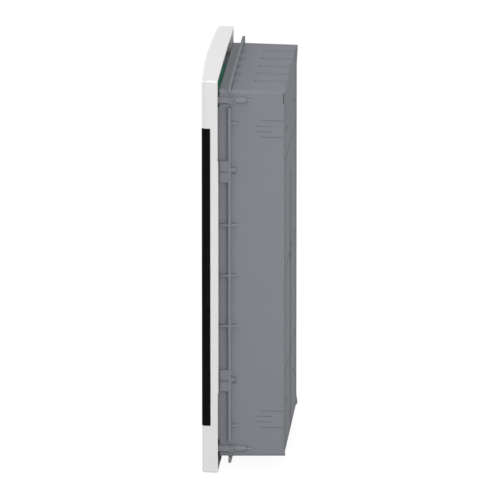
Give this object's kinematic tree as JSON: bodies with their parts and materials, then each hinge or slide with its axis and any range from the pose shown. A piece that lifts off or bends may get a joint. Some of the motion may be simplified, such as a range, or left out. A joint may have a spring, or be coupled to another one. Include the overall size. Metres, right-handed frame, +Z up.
{
  "type": "flush distribution enclosure",
  "caption": "Flush-mounting distribution enclosure: grey recess box with knock-outs and plaster flange, white bowed cover, smoked hinged door, DIN rails and terminal bars.",
  "frame": {"origin": "centre of the pad in the middle of the recess box's rear face, the face that seats on the bottom of the wall recess", "axes": "+X to the right seen from the front, +Y into the wall, +Z up; the door faces -Y"},
  "size_m": [0.27, 0.1019, 0.482],
  "materials": {
    "box_grey": "moulded grey, fine grain",
    "cover_white": "satin white moulding",
    "label_white": "plain marking strip",
    "door_smoke": "polished, smoked near black",
    "earth_green": "moulded green",
    "neutral_blue": "moulded blue",
    "bar_brass": "drawn bar",
    "zinc_steel": "zinc plated"
  },
  "bodies": {
    "enclosure": {"back_box": "box_grey", "front_cover": "cover_white", "blank_1": "cover_white", "blank_2": "cover_white", "blank_3": "cover_white", "label_strip_1": "label_white", "label_strip_2": "label_white", "label_strip_3": "label_white", "earth_carrier": "earth_green", "neutral_carrier": "neutral_blue", "earth_bar": "bar_brass", "neutral_bar": "bar_brass", "upright_left": "zinc_steel", "upright_right": "zinc_steel", "din_rail_1": "zinc_steel", "din_rail_2": "zinc_steel", "din_rail_3": "zinc_steel", "terminal_support_top": "zinc_steel", "terminal_support_bottom": "zinc_steel", "hinge_pin_top": "zinc_steel", "hinge_pin_bottom": "zinc_steel", "catch_pin": "zinc_steel", "chassis_screw_1": "zinc_steel", "chassis_screw_2": "zinc_steel", "chassis_screw_3": "zinc_steel", "chassis_screw_4": "zinc_steel", "rail_screw_1": "zinc_steel", "rail_screw_2": "zinc_steel", "rail_screw_3": "zinc_steel", "rail_screw_4": "zinc_steel", "rail_screw_5": "zinc_steel", "rail_screw_6": "zinc_steel", "support_screw_1": "zinc_steel", "support_screw_2": "zinc_steel", "support_screw_3": "zinc_steel", "support_screw_4": "zinc_steel", "cover_screw_1": "zinc_steel", "cover_screw_2": "zinc_steel", "cover_screw_3": "zinc_steel", "cover_screw_4": "zinc_steel", "earth_clamp_screw_1": "zinc_steel", "earth_clamp_screw_2": "zinc_steel", "earth_clamp_screw_3": "zinc_steel", "earth_clamp_screw_4": "zinc_steel", "earth_clamp_screw_5": "zinc_steel", "earth_clamp_screw_6": "zinc_steel", "earth_clamp_screw_7": "zinc_steel", "earth_clamp_screw_8": "zinc_steel", "neutral_clamp_screw_1": "zinc_steel", "neutral_clamp_screw_2": "zinc_steel", "neutral_clamp_screw_3": "zinc_steel", "neutral_clamp_screw_4": "zinc_steel", "neutral_clamp_screw_5": "zinc_steel", "neutral_clamp_screw_6": "zinc_steel", "neutral_clamp_screw_7": "zinc_steel", "neutral_clamp_screw_8": "zinc_steel"},
    "door_leaf": {"door": "door_smoke"},
    "catch": {"catch_tongue": "cover_white"}
  },
  "joints": [
    {"name": "door_swing", "type": "hinge", "parent": "enclosure", "child": "door_leaf", "pos_m": [-0.13005, -0.09285, 0], "axis": [0, 0, -1], "range_deg": [0, 165]},
    {"name": "catch_flex", "type": "hinge", "parent": "enclosure", "child": "catch", "pos_m": [0.127, -0.0815, 0], "axis": [0, 0, -1], "range_deg": [0, 10], "stiffness_Nm_per_rad": 0.05}
  ]
}
